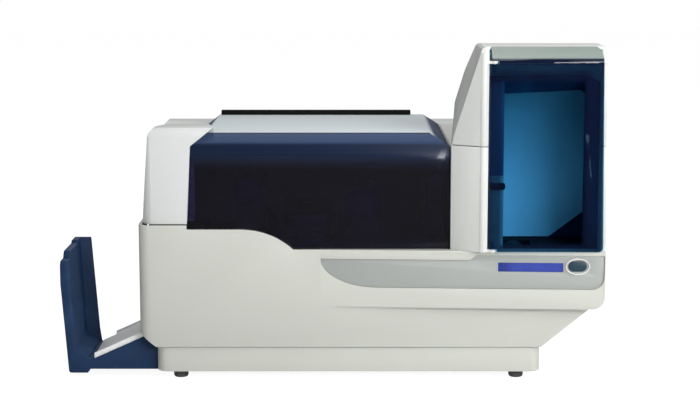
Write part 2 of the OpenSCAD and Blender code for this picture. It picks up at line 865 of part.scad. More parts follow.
module lid_frame() {
    color("#d9dbd9") {
        difference() {
            lid_block(0);
            lid_block(wall);
            // front opening behind the window
            block(x_win + 6, x_win_r + 1, y_lid - 1, y_lid + 10, z_lid - 1, z_top + 1);
            along_y(y_lid - 1, y_lid + pane_t)
                polygon([
                    [x_win, z_lid - 1], [x_win_r + 1, z_lid - 1], [x_win_r + 1, z_top + 1],
                    [slant_x(1) + gap, z_top + 1], [slant_x(0), z_top]]);
            // top opening under the band
            block(x_win + band_base + 2, x_win_r - 4.5, y_lid - 1, y_lid_b - band_back - 2,
                z_top - 8, z_top + 1);
            // right wall only as deep as the tower's seam
            block(x_win_r - wall - 1, x_win_r + 1, y_lid + pane_t + 4, y_lid_b - 12, z_lid - 1, z_top - 14);
        }
        // lip behind the left edge of the window
        block(x_win - 4, x_win + 6, y_lid + pane_t, y_lid + pane_t + 2, z_lid + 2, z_top - 1);
        // hinge ears
        for (s = [-1, 1])
            difference() {
                lid_ear(x_band_mid + s * ear_x);
                rod_x(y_hinge, z_hinge, lid_pin_d + 2 * run_fit, x_l, x_r);
            }
    }
}
module lid_ear(x) {
    y_ear = y_lid_b - band_back + 0.4;
    rod_x(y_hinge, z_hinge, 2 * ear_r, x - ear_w / 2 + 0.25, x + ear_w / 2 - 0.25);
    block(x - ear_w / 2 + 0.25, x + ear_w / 2 - 0.25, y_ear, y_hinge, z_hinge - 2.6, z_hinge + ear_r);
    block(x - ear_w / 2 + 0.25, x + ear_w / 2 - 0.25, y_ear, y_lid_b, z_top - wall, z_hinge + 1);
}

// front view of the smoked cover above the white top
function band_front() = [
    [slant_x(0), z_top], [x_win_r, z_top], [x_win_r - band_chamfer - 1.5, z_band],
    [slant_x(band_rise), z_band]
];
band_side = [
    [y_lid, z_lid], [y_lid_b - band_back, z_lid], [y_lid_b - band_back, z_band - band_fall],
    [y_lid + band_bevel_d, z_band], [y_lid, z_band - band_bevel_h]
];

module band_mass(d) {
    intersection() {
        along_y(y_lid - 1, y_lid_b + 1)
            polygon(inset(band_front(), [-d, d, d, d]));
        along_x(x_l, x_r)
            polygon(inset(band_side, [-d, d, d, d, d]));
    }
}

module lid_window() {
    color("#11182a", 0.75) {
        difference() {
            band_mass(0);
            band_mass(pane_t);
        }
        // front pane down to the sill
        along_y(y_lid, y_lid + pane_t)
            intersection() {
                over_sill(-seam);
                polygon([
                    [x_win + pane_fit, z_sill], [x_win_r, z_sill], [x_win_r, z_top], [slant_x(0), z_top],
                    [x_win + pane_fit, z_lid]]);
            }
    }
}

module lid_rear_lip() {
    x1 = x_win_r - band_chamfer - lip_short - 1.5;
    y1 = y_lid_b - band_back;
    y_flat = y_lid + band_bevel_d;
    z0 = z_band - band_fall + press_fit;
    color("#0d0d10")
        along_x(slant_x(band_rise), x1)
            polygon(rounded([
                [y1 - lip_d, z0 + band_fall * lip_d / (y1 - y_flat)], [y1, z0], [y1, z0 + lip_h],
                [y1 - lip_d + 2, z0 + lip_h]], [0, 0, 1, 1.5]));
}

module lid_hinge_pins() {
    color("#b9bcc0")
        for (s = [-1, 1])
            rod_x(y_hinge, z_hinge, lid_pin_d,
                min(x_band_mid + s * (ear_x - ear_w / 2), x_band_mid + s * (ear_x + 1.5 * ear_w + 0.5)),
                max(x_band_mid + s * (ear_x - ear_w / 2), x_band_mid + s * (ear_x + 1.5 * ear_w + 0.5)));
}

// ---- output ----
tongue_w = 12;
tongue_t = 3;
z_tongue = z_pan + 6;
tongue_y = [y_hop0 + 14, y_hop1 - 14];

function chute_z(x) = z_chute + (x - x_chute) * tan(chute_angle);

module exit_duct() {
    z1 = z_sill + 11;
    x1 = x_frame;
    color("#1c2436")
        difference() {
            block(x_l + wall + 0.4, x1, y_hop0 - 1.7, y_hop1 + 1.7, z1 - duct_h, z1);
            block(x_l, x1 - duct_t, y_hop0 - 1.7 + duct_t, y_hop1 + 1.7 - duct_t,
                z1 - duct_h - 1, z1 - duct_t);
            block(x_frame - 20, x_frame, y_card - card_w / 2 - 1, y_card + card_w / 2 + 1,
                z_card - 1.5, z_card + 5);
        }
}

module output_hopper() {
    x_in = x_min + 5;
    base_z0 = z_pan - 0.5;
    lean = 5;
    color("#1c2c4e") {
        // leaning end wall with a stepped top
        difference() {
            along_y(y_hop0, y_hop1)
                polygon(rounded([
                    [x_min + lean, foot_h - 3.5], [x_chute - 4, foot_h - 3.5], [x_chute - 4, z_chute - 1],
                    [x_in + lean, z_chute + 6], [x_in + 1.6, hopper_h + foot_h - 3],
                    [x_min + 1.6, hopper_h + foot_h - 3], [x_min, hopper_h - 8], [x_min, hopper_h - 22]],
                    [2, 2, 0, 5, 0, 1.5, 0, 0]));
            block(x_min - 1, x_in + 8, y_hop0 - 1, y_hop0 + 12, hopper_h - 4, hopper_h + 20);
            block(x_min - 1, x_in + 8, y_hop0 - 1, y_hop1 - 14, hopper_h + foot_h - 5.5, hopper_h + 20);
        }
        // return flange at the back
        along_y(y_hop1 - 3, y_hop1)
            polygon([
                [x_in + 2, z_chute - 6], [x_chute - 2, z_chute - 6], [x_chute - 4, z_chute + 8],
                [x_min + 15, hopper_h + foot_h - 3], [x_in + 1, hopper_h + foot_h - 3]]);
        // base with the wedge under the chute
        difference() {
            along_y(y_hop0, y_hop1)
                polygon([
                    [x_chute - 6, base_z0], [x_skl, base_z0], [x_skl, z_skirt - 1.5],
                    [x_l + 1.5, chute_z(x_l + 1.5) - chute_t - 0.6], [x_chute, z_chute - chute_t - 0.6],
                    [x_chute - 6, z_chute - chute_t - 0.6]]);
            block(x_chute + 6, x_skl - 3, y_hop0 + 3, y_hop1 - 3, base_z0 - 1, z_chute - 6);
        }
        // tongues that hook into the base pan
        for (y = tongue_y)
            block(x_skl - 1, x_skl + wall + 2.5, y - tongue_w / 2, y + tongue_w / 2,
                z_tongue, z_tongue + tongue_t);
    }
}

module output_chute() {
    x1 = x_frame - 7;
    lip = 1.6;
    color("#eef0ee")
        difference() {
            along_y(y_hop0 + 1, y_hop1 - 1)
                polygon([
                    [x_chute, z_chute - chute_t - 0.6], [x_l + 1.5, chute_z(x_l + 1.5) - chute_t - 0.6],
                    [x1, chute_z(x1) - chute_t - 0.6], [x1, chute_z(x1) + lip],
                    [x_chute, chute_z(x_chute) + lip]]);
            along_y(y_hop0 + 1 + 1.6, y_hop1 - 1 - 1.6)
                polygon([
                    [x_chute - 5, chute_z(x_chute - 5)], [x1 + 5, chute_z(x1 + 5)],
                    [x1 + 5, chute_z(x1 + 5) + 20], [x_chute - 5, chute_z(x_chute - 5) + 20]]);
            // relief at the far lower corner
            block(x_chute - 1, x_chute + 9, y_hop1 - 8, y_hop1, z_chute - 10, z_chute + 20);
        }
    // legs that stand on the base pan
    color("#eef0ee")
        for (y = [y_hop0 + 6, y_hop1 - 8])
            along_y(y, y + 2)
                polygon([
                    [x_skl + 8, z_floor], [x_skl + 20, z_floor],
                    [x_skl + 20, chute_z(x_skl + 20) - chute_t], [x_skl + 8, chute_z(x_skl + 8) - chute_t]]);
}

// ---- frame ----
shafts = [
    [x_pick, z_pick], [x_entry, z_feed], [x_mid, z_feed], [x_platen, z_platen], [x_exit, z_feed]
];
x_plate_r = x_pick + 26;
x_plate_b = x_skr - 20;
z_plate = z_card - 3;

module plate_outline(rear) {
    difference() {
        union() {
            polygon([
                [x_frame, z_floor], [x_plate_b, z_floor], [x_plate_b, z_sill - 50],
                [x_plate_r, z_sill - 38], [x_plate_r, z_plate], [x_frame, z_plate]]);
            // raised stretch beside the card path
            polygon([
                [x_frame, z_plate - 1], [x_entry + 6, z_plate - 1], [x_entry + 6, z_card + 9],
                [x_head1 + 6, z_card + (rear ? 20 : 9)], [x_head1 + 6, z_card + 5],
                [x_head0 - 6, z_card + 5], [x_head0 - 6, z_card + (rear ? 20 : 9)], [x_frame, z_card + 9]]);
            spool_ear(x_supply, z_supply);
            spool_ear(x_takeup, z_takeup);
        }
        for (s = shafts)
            translate(s)
                circle(r = bush_r + press_fit);
        for (x = [x_mid, x_exit])
            translate([x, z_pinch])
                circle(d = pinch_shaft_d + 2 * run_fit);
        translate([x_entry, z_card + card_gap + cleaning_d / 2])
            circle(d = pinch_shaft_d + 2 * run_fit);
        // lightening holes
        for (p = [[x_frame + 32, z_floor + 26], [x_plate_r - 62, z_floor + 26]])
            translate(p)
                circle(r = 15);
        if (rear)
            translate([x_motor, z_motor])
                circle(r = 11);
        if (!rear)
            translate([x_motor, z_motor])
                circle(r = 18);
    }
}
cleaning_d = 14;

module spool_ear(x, z) {
    difference() {
        union() {
            translate([x, z])
                circle(r = 9);
            translate([x - 9, z_card])
                square([18, z - z_card]);
        }
        translate([x, z])
            circle(r = stub_r + run_fit);
    }
}

module front_frame_plate() {
    color("#a8adb2")
        difference() {
            along_y(y_fp - plate_t, y_fp)
                plate_outline(false);
            // the spools lift out of open slots
            for (s = [[x_supply, z_supply], [x_takeup, z_takeup]])
                block(s[0] - stub_r - run_fit, s[0] + stub_r + run_fit, y_fp - plate_t - 1, y_fp + 1,
                    s[1], s[1] + 12);
        }
}

module rear_frame_plate() {
    color("#a8adb2") {
        along_y(y_rp, y_rp + plate_t)
            plate_outline(true);
        // lugs for the print head's hinge
        for (x = [x_head0 - head_lug - 0.4, x_head1 + 0.4])
            difference() {
                block(x, x + head_lug, y_rp + plate_t - eps, y_head_pin + 5, z_head_pin - 9, z_head_pin + 5);
                rod_x(y_head_pin, z_head_pin, head_pin_d + 2 * press_fit, x - 1, x + head_lug + 1);
            }
    }
}

module frame_crossbars() {
    color("#8f959b")
        for (p = [[x_frame + 8, z_floor + 10], [x_frame + 48, z_floor + 60],
                  [x_plate_r - 30, z_floor + 60], [x_plate_b - 8, z_floor + 10]])
            rod_y(p[0], p[1], 7, y_fp, y_rp);
}

module shaft_bushings() {
    color("#caa86a")
        for (s = shafts)
            for (y = [y_fp - plate_t, y_rp])
                difference() {
                    rod_y(s[0], s[1], 2 * bush_r, y, y + plate_t);
                    rod_y(s[0], s[1], shaft_d + 2 * run_fit, y - 1, y + plate_t + 1);
                }
}

// ---- rollers ----
module sleeve(s, d, y0, y1) {
    difference() {
        rod_y(s[0], s[1], d, y0, y1);
        rod_y(s[0], s[1], shaft_d, y0 - 1, y1 + 1);
    }
}
module toothed(r, n, w) {
    pitch = 360 / n;
    linear_extrude(w)
        polygon([for (i = [0:n - 1])
            for (q = [[0, r - 0.7], [0.2, r], [0.55, r], [0.75, r - 0.7]])
                q[1] * [cos(pitch * (i + q[0])), sin(pitch * (i + q[0]))]]);
}
module pulley_on(s, r, n, y) {
    translate([s[0], y + pulley_w, s[1]])
        rotate([90, 0, 0])
            toothed(r, n, pulley_w);
}
module driven_shaft(i) {
    s = shafts[i];
    color("#9aa0a6") {
        rod_y(s[0], s[1], shaft_d, y_fp - plate_t - 1.4, y_belt + pulley_w);
        pulley_on(s, pulley_r, pulley_teeth, y_belt);
    }
}

module pick_roller() {
    color("#2b2b2e")
        sleeve(shafts[0], pick_d, y_card - 11, y_card + 11);
}
module pick_shaft() { driven_shaft(0); }
module entry_roller() {
    color("#2b2b2e")
        sleeve(shafts[1], feed_d, y_fp + 2, y_rp - 2);
}
module entry_shaft() { driven_shaft(1); }
module middle_roller() {
    color("#2b2b2e")
        sleeve(shafts[2], feed_d, y_fp + 2, y_rp - 2);
}
module middle_shaft() { driven_shaft(2); }
module platen_roller() {
    color("#1f1f22")
        sleeve(shafts[3], platen_d, y_fp + 1.5, y_rp - 1.5);
}
module platen_shaft() {
    s = shafts[3];
    driven_shaft(3);
    color("#9aa0a6") {
        rod_y(s[0], s[1], shaft_d, y_belt, y_belt2 + pulley_w);
        pulley_on(s, pulley2_r, 30, y_belt2);
    }
}
module exit_roller() {
    color("#2b2b2e")
        sleeve(shafts[4], feed_d, y_fp + 2, y_rp - 2);
}
module exit_shaft() { driven_shaft(4); }

module pinch_roller(x) {
    rod_y(x, z_pinch, pinch_shaft_d, y_fp - plate_t - 0.6, y_rp + plate_t + 0.6);
    rod_y(x, z_pinch, pinch_d, y_fp + 3, y_rp - 3);
}
module middle_pinch_roller() {
    color("#6b7076")
        pinch_roller(x_mid);
}
module exit_pinch_roller() {
    color("#6b7076")
        pinch_roller(x_exit);
}
module cleaning_roller() {
    z = z_card + card_gap + cleaning_d / 2;
    color("#3a7ac0") {
        rod_y(x_entry, z, pinch_shaft_d, y_fp - plate_t - 0.6, y_rp + plate_t + 0.6);
        rod_y(x_entry, z, cleaning_d, y_fp + 3, y_rp - 3);
    }
}
module cleaning_cartridge() {
    z0 = z_card + card_gap + cleaning_d / 2;
    r = cleaning_d / 2 + 0.8;
    color("#2f5fae")
        difference() {
            union() {
                along_y(y_fp + 0.4, y_rp - 0.4)
                    translate([x_entry - r - 1.2, z0])
                        square([2 * r + 2.4, 16]);
                along_y(y_fp + 0.4, y_fp + 5)
                    translate([x_entry - 6, z0 + 10])
                        square([12, 38]);
            }
            rod_y(x_entry, z0, 2 * r, y_fp + 2.2, y_rp - 2.2);
            rod_y(x_entry, z0, pinch_shaft_d + 0.6, y_fp - 1, y_rp + 1);
            block(x_entry - 3, x_entry + 3, y_fp - 1, y_fp + 6, z0 + 28, z0 + 40);
        }
}

// ---- belts and drive ----
module belt_loop(pts, y) {
    translate([0, y + pulley_w - 0.3, 0])
        rotate([90, 0, 0])
            linear_extrude(pulley_w - 0.6)
                difference() {
                    hull()
                        for (p = pts)
                            translate([p[0], p[1]])
                                circle(r = p[2] + gap + belt_t, $fn = 32);
                    hull()
                        for (p = pts)
                            translate([p[0], p[1]])
                                circle(r = p[2] + gap, $fn = 32);
                }
}
module transport_belt() {
    color("#1b1b1d")
        belt_loop([for (s = shafts) [s[0], s[1], pulley_r]], y_belt);
}
module motor_belt() {
    color("#1b1b1d")
        belt_loop([[x_platen, z_platen, pulley2_r], [x_motor, z_motor, motor_r]], y_belt2);
}
module drive_motor() {
    color("#4c5056") {
        block(x_motor - motor_w / 2, x_motor + motor_w / 2, y_rp - motor_l, y_rp,
            z_motor - motor_w / 2, z_motor + motor_w / 2);
        rod_y(x_motor, z_motor, 21, y_rp, y_rp + plate_t);
    }
}
module motor_pulley() {
    color("#c9ccd0") {
        rod_y(x_motor, z_motor, 5, y_rp + plate_t + gap, y_belt2 + pulley_w + 1);
        pulley_on([x_motor, z_motor], motor_r, 15, y_belt2);
    }
}

// ---- print head ----
module print_head_arm() {
    za = z_head + head_h;
    color("#3c4148")
        difference() {
            union() {
                block(x_head0, x_head1, y_fp + 6, y_head_pin, za, za + 3);
                for (x = [x_head0, x_head1 - 2.4])
                    along_x(x, x + 2.4)
                        polygon([
                            [y_fp + 8, za - 12], [y_rp - 3, za - 14], [y_head_pin - 5, z_head_pin - 5],
                            [y_head_pin + 5, z_head_pin - 5], [y_head_pin + 5, z_head_pin + 5],
                            [y_head_pin, za + 3], [y_fp + 6, za + 3]]);
            }
            rod_x(y_head_pin, z_head_pin, head_pin_d + 2 * run_fit, x_head0 - 1, x_head1 + 1);
            for (i = [0:2])
                rod_z(x_platen, y_card - 18 + 18 * i, 9, za - 1, za + 4);
        }
}
module print_head() {
    x0 = x_head0 + 4;
    x1 = x_head1 - 4;
    color("#b9bec3")
        difference() {
            union() {
                block(x0, x1, y_fp + 3, y_rp - 3, z_head + 2, z_head + head_h);
                // heating line
                block(x_platen - 3, x_platen + 3, y_fp + 3, y_rp - 3, z_head, z_head + 2.5);
            }
            // cooling fins
            for (i = [0:3])
                for (x = [x0 - 1, x1 - 8])
                    block(x, x + 9, y_fp, y_rp, z_head + 6 + 4.2 * i, z_head + 8 + 4.2 * i);
        }
}
module head_hinge_pin() {
    color("#b9bcc0")
        rod_x(y_head_pin, z_head_pin, head_pin_d, x_head0 - head_lug - 1.4, x_head1 + head_lug + 1.4);
}

// ---- ribbon ----
module spool(x, z) {
    rod_y(x, z, 2 * stub_r, y_fp - plate_t - gap, y_rp + plate_t + 2);
    rod_y(x, z, cap_d, y_fp - plate_t - gap - 1.8, y_fp - plate_t - gap);
    rod_y(x, z, 2 * core_r, y_fp + 0.6, y_rp - 0.6);
}
module supply_spool() {
    color("#4a3a6a")
        spool(x_supply, z_supply);
}
module takeup_spool() {
    color("#4a3a6a")
        spool(x_takeup, z_takeup);
}
module ribbon_roll(x, z, d) {
    difference() {
        rod_y(x, z, d, y_card - ribbon_w / 2, y_card + ribbon_w / 2);
        rod_y(x, z, 2 * core_r, y_fp, y_rp);
    }
}
module supply_ribbon() {
    color("#6a2a72")
        ribbon_roll(x_supply, z_supply, supply_d);
}
module takeup_ribbon() {
    color("#5a2a62")
        ribbon_roll(x_takeup, z_takeup, takeup_d);
}
// point on a roll of radius r, at an angle
function on_roll(x, z, r, a) = [x + r * cos(a), z + r * sin(a)];
module ribbon_web() {
    p = [
        on_roll(x_takeup, z_takeup, takeup_d / 2 + gap, -60),
        [x_platen - 17, z_web + 2], [x_platen - 6, z_web], [x_platen + 6, z_web], [x_platen + 17, z_web + 2],
        on_roll(x_supply, z_supply, supply_d / 2 + gap, -125)
    ];
    color("#7a3a84")
        along_y(y_card - ribbon_w / 2 + 1, y_card + ribbon_w / 2 - 1)
            polygon([
                for (q = p) q,
                for (i = [len(p) - 1:-1:0]) p[i] + [0, web_t]]);
}
module ribbon_motors() {
    color("#55595f")
        for (s = [[x_supply, z_supply], [x_takeup, z_takeup]]) {
            rod_y(s[0], s[1], 22, y_rp + plate_t + 2 + gap, y_rp + plate_t + 30);
            difference() {
                rod_y(s[0], s[1], 18, y_rp + plate_t, y_rp + plate_t + 2 + gap);
                rod_y(s[0], s[1], 2 * stub_r + 1, y_rp + plate_t - 1, y_rp + plate_t + 2 + gap);
            }
        }
}

// ---- electronics ----
z_board = z_floor + 6;
board_x = [-40, 60];
board_y = [32, 92];
module main_board() {
    color("#1f6b3a") {
        block(board_x[0] - 6, board_x[1] + 6, board_y[0] - 6, board_y[1] + 6, z_board, z_board + 1.6);
        block(-20, 4, 45, 69, z_board + 1.6, z_board + 4);
        block(20, 52, 40, 48, z_board + 1.6, z_board + 10);
        for (i = [0:2])
            rod_z(-30 + 14 * i, 84, 9, z_board + 1.6, z_board + 15);
    }
}
module port_body(c, d) {
    block(c[0] - c[2] / 2, c[0] + c[2] / 2, y_b - d, y_b - 0.4, c[1] - c[3] / 2, c[1] + c[3] / 2);
}
rocker_tip = 6;
module power_switch() {
    c = rear_ports[0];
    color("#161719")
        difference() {
            port_body(c, 16);
            block(c[0] - 8, c[0] + 8, y_b - 9, y_b, c[1] - 5.2, c[1] + 5.2);
            rod_x(y_b - 6, c[1], 2 + 2 * run_fit, c[0] - 9.5, c[0] + 9.5);
        }
}
// rocker, tipped to its off side about its pivot
module power_rocker() {
    c = rear_ports[0];
    y_pivot = y_b - 6;
    color("#0d0e10")
        translate([0, y_pivot, c[1]])
            rotate([rocker_tip, 0, 0]) {
                along_x(c[0] - 7.6, c[0] + 7.6)
                    polygon([
                        [-1.4, -2], [3.6, -4.2], [5, -4.2], [4, 0], [5, 4.2], [3.6, 4.2], [-1.4, 2]]);
                rod_x(0, 0, 2, c[0] - 9.2, c[0] + 9.2);
            }
}
module rear_connectors() {
    color("#1d1e21") {
        difference() {
            port_body(rear_ports[1], 22);
            c = rear_ports[1];
            block(c[0] - 11, c[0] + 11, y_b - 14, y_b, c[1] - 7, c[1] + 7);
        }
        for (i = [2, 3])
            difference() {
                port_body(rear_ports[i], 16);
                c = rear_ports[i];
                block(c[0] - c[2] / 2 + 1.2, c[0] + c[2] / 2 - 1.2, y_b - 9, y_b,
                    c[1] - c[3] / 2 + 1.2, c[1] + c[3] / 2 - 1.2);
            }
    }
}

module cover_screws() {
    color("#8a8e93")
        for (p = post_xy) {
            rod_z(p[0], p[1], 2.4, z_pan + post_h - 8, z_pan + post_h + 4);
            rod_z(p[0], p[1], 5.5, z_pan + post_h + 4, z_pan + post_h + 6);
        }
}

rubber_feet();
base_pan();
front_housing();
rear_cover();
feeder_tower();
tower_cap();
control_panel();
lcd_display();
panel_button();
lid_frame();
lid_window();
lid_rear_lip();
lid_hinge_pins();
feeder_door();
door_hinge_pins();
feeder_liner();
feeder_back_panel();
feeder_floor();
thickness_gate();
gate_knob();
exit_duct();
output_hopper();
output_chute();
front_frame_plate();
rear_frame_plate();
frame_crossbars();
shaft_bushings();
pick_roller();
pick_shaft();
entry_roller();
entry_shaft();
middle_roller();
middle_shaft();
platen_roller();
platen_shaft();
exit_roller();
exit_shaft();
middle_pinch_roller();
exit_pinch_roller();
cleaning_roller();
cleaning_cartridge();
transport_belt();
motor_belt();
drive_motor();
motor_pulley();
print_head_arm();
print_head();
head_hinge_pin();
supply_spool();
supply_ribbon();
takeup_spool();
takeup_ribbon();
ribbon_web();
ribbon_motors();
main_board();
power_switch();
power_rocker();
rear_connectors();
cover_screws();
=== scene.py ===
import json
import math

import bmesh
import bpy
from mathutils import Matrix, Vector


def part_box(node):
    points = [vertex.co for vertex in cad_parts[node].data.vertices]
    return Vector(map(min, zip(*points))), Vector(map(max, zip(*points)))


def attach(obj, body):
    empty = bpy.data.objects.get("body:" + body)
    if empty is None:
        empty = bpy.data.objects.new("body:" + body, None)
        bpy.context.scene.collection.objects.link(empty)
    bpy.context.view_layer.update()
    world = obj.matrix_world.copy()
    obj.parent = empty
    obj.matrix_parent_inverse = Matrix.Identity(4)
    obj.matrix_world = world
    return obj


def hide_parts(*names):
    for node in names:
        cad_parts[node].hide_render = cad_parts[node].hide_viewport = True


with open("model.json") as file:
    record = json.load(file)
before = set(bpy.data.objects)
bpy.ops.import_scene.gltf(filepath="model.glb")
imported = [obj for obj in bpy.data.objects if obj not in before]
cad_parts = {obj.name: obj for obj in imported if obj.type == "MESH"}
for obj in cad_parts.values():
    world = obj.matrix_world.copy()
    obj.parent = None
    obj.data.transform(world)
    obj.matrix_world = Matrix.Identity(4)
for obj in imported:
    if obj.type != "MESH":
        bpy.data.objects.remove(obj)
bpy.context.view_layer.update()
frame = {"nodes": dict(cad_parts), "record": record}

MM = 0.001
BODY_OF = {
    node: body
    for body, nodes in frame["record"]["behaviour"]["bodies"].items()
    for node in nodes
}
SLOT_OF = {part["node"]: part["material_slot"] for part in frame["record"]["subparts"]}


def low(node):
    """The corner of a CAD node's box that has its least x, y and z."""
    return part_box(node)[0]


def high(node):
    """The corner of a CAD node's box that has its greatest x, y and z."""
    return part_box(node)[1]


def put(name, data):
    """A new object in the scene that shows this mesh, lamp or camera."""
    thing = bpy.data.objects.new(name, data)
    bpy.context.scene.collection.objects.link(thing)
    return thing


# ---------------------------------------------------------------- how materials are made
# Every material under its own name, which for all but a few is a material slot's name too.
FINISHES = {}


def srgb(code):
    """The linear colour that a screen shows as these six hex digits."""
    channels = [int(code[i:i + 2], 16) / 255 for i in (0, 2, 4)]
    return [c / 12.92 if c <= 0.04045 else ((c + 0.055) / 1.055) ** 2.4 for c in channels] + [1.0]


def either_side(code, share):
    """Two colours round the one given, this share darker and this share lighter."""
    base = srgb(code)[:3]
    dark = [c * (1 - share) for c in base]
    light = [min(1.0, c * (1 + share)) for c in base]
    return dark + [1.0], light + [1.0]


class Material:
    """One node material round a Principled shader, with short calls for the nodes that drive it."""

    def __init__(self, name, **values):
        """The values are the shader's own, under their sockets' names with _ for each space."""
        self.block = FINISHES[name] = bpy.data.materials.new(name)
        self.block.use_nodes = True
        self.tree = self.block.node_tree
        self.shader = self.tree.nodes["Principled BSDF"]
        self.output = self.tree.nodes["Material Output"]
        for socket, value in values.items():
            self.shader.inputs[socket.replace("_", " ")].default_value = value
        self.point = self.add("ShaderNodeTexCoord").outputs["Object"]

    def add(self, kind, **settings):
        """A new node of this kind, with these settings."""
        node = self.tree.nodes.new(kind)
        for name, value in settings.items():
            setattr(node, name, value)
        return node

    def feed(self, socket, value):
        """Links a socket to another node's output, or sets it to a plain value."""
        if isinstance(value, bpy.types.NodeSocket):
            self.tree.links.new(value, socket)
        else:
            socket.default_value = value

    def calc(self, operation, a, b):
        node = self.add("ShaderNodeMath", operation=operation)
        self.feed(node.inputs[0], a)
        self.feed(node.inputs[1], b)
        return node.outputs[0]

    def plus(self, a, b):
        return self.calc("ADD", a, b)

    def minus(self, a, b):
        return self.calc("SUBTRACT", a, b)

    def times(self, a, b):
        return self.calc("MULTIPLY", a, b)

    def axis(self, letter):
        """The surface's place along X, Y or Z, in metres."""
        node = self.add("ShaderNodeSeparateXYZ")
        self.feed(node.inputs[0], self.point)
        return node.outputs[letter]

    def noise(self, scale, detail=3.0, stretch=(1, 1, 1)):
        """Noise with about scale blobs to the metre, drawn out along an axis by a small stretch."""
        mapping = self.add("ShaderNodeMapping")
        self.feed(mapping.inputs["Vector"], self.point)
        self.feed(mapping.inputs["Scale"], stretch)
        node = self.add("ShaderNodeTexNoise")
        self.feed(node.inputs["Vector"], mapping.outputs[0])
        self.feed(node.inputs["Scale"], scale)
        self.feed(node.inputs["Detail"], detail)
        return node.outputs["Fac"]

    def between(self, value, start, end):
        """0 at start, 1 at end, smooth between them and level past both. Either may be the larger."""
        node = self.add("ShaderNodeMapRange", interpolation_type="SMOOTHSTEP")
        self.feed(node.inputs["Value"], value)
        self.feed(node.inputs["From Min"], start)
        self.feed(node.inputs["From Max"], end)
        return node.outputs["Result"]

    def past(self, value, edge, start, end):
        """0 at start and 1 at end, which are millimetres past an edge, or short of it where below 0."""
        return self.between(value, edge + start * MM, edge + end * MM)

    def mix(self, share, a, b):
        """The first colour, with this share of the second."""
        node = self.add("ShaderNodeMix", data_type="RGBA")
        self.feed(node.inputs["Factor"], share)
        self.feed(node.inputs["A"], a)
        self.feed(node.inputs["B"], b)
        return node.outputs["Result"]

    def colour(self, value):
        self.feed(self.shader.inputs["Base Color"], value)

    def coat(self, weight):
        self.feed(self.shader.inputs["Coat Weight"], weight)

    def uneven_gloss(self, noise, least, swing):
        """Roughness that wanders in soft patches, from least to least plus swing."""
        self.feed(self.shader.inputs["Roughness"], self.plus(self.times(noise, swing), least))

    def bump(self, height, depth, strength):
        """Relief of this depth, in metres."""
        node = self.add("ShaderNodeBump")
        self.feed(node.inputs["Distance"], depth)
        self.feed(node.inputs["Strength"], strength)
        self.feed(node.inputs["Height"], height)
        self.feed(self.shader.inputs["Normal"], node.outputs["Normal"])

    def blend(self, share, other):
        """Gives this share of the surface to another shader node."""
        node = self.add("ShaderNodeMixShader")
        self.feed(node.inputs[0], share)
        self.feed(node.inputs[1], self.shader.outputs[0])
        self.feed(node.inputs[2], other.outputs[0])
        self.feed(self.output.inputs["Surface"], node.outputs[0])

    def see_through(self, share, tint):
        """Lets this share of the light through, tinted."""
        clear = self.add("ShaderNodeBsdfTransparent")
        self.feed(clear.inputs["Color"], tint)
        self.blend(share, clear)


# ---------------------------------------------------------------- kinds of material
def moulded(name, code, roughness, variation, dust=None, **values):
    """Injection-moulded plastic: a fine grain, slight flow marks, uneven gloss and, if given, dust."""
    m = Material(name, **values)
    dark, light = either_side(code, variation)
    body = m.mix(m.noise(9, 2, stretch=(1, 1, 2.5)), dark, light)
    if dust:
        patches = m.between(m.noise(34, 4), 0.52, 0.78)
        body = m.mix(m.times(patches, 0.25), body, srgb(dust))
    m.colour(body)
    m.uneven_gloss(m.noise(22, 4), least=roughness - 0.08, swing=0.16)
    m.bump(m.noise(2300, 2), 0.04 * MM, strength=0.35)


def housing_plastic(name, dark, light):
    """Off-white plastic with faint flow marks and a fine grain."""
    m = Material(name)
    m.colour(m.mix(m.noise(7, 2, stretch=(1, 1, 2)), srgb(dark), srgb(light)))
    m.uneven_gloss(m.noise(26, 4), least=0.36, swing=0.14)
    m.bump(m.noise(2300, 2), 0.04 * MM, strength=0.3)


def metal(name, code, roughness, streaks=(1, 0.05, 1)):
    """Worked metal, with fine tool marks drawn out along the axis that has a small streaks value."""
    m = Material(name, Metallic=1.0)
    dark, light = either_side(code, 0.08)
    marks = m.noise(900, 4, streaks)
    m.colour(m.mix(marks, dark, light))
    m.uneven_gloss(m.noise(40, 4), least=roughness - 0.1, swing=0.2)
    m.bump(marks, 0.03 * MM, strength=0.35)


def rubber(name, code):
    """Dull rubber with a coarse grain."""
    m = Material(name, Specular_IOR_Level=0.3)
    dark, light = either_side(code, 0.2)
    m.colour(m.mix(m.noise(160, 5), dark, light))
    m.uneven_gloss(m.noise(90, 4), least=0.68, swing=0.15)
    m.bump(m.noise(1500, 4), 0.06 * MM, strength=0.6)


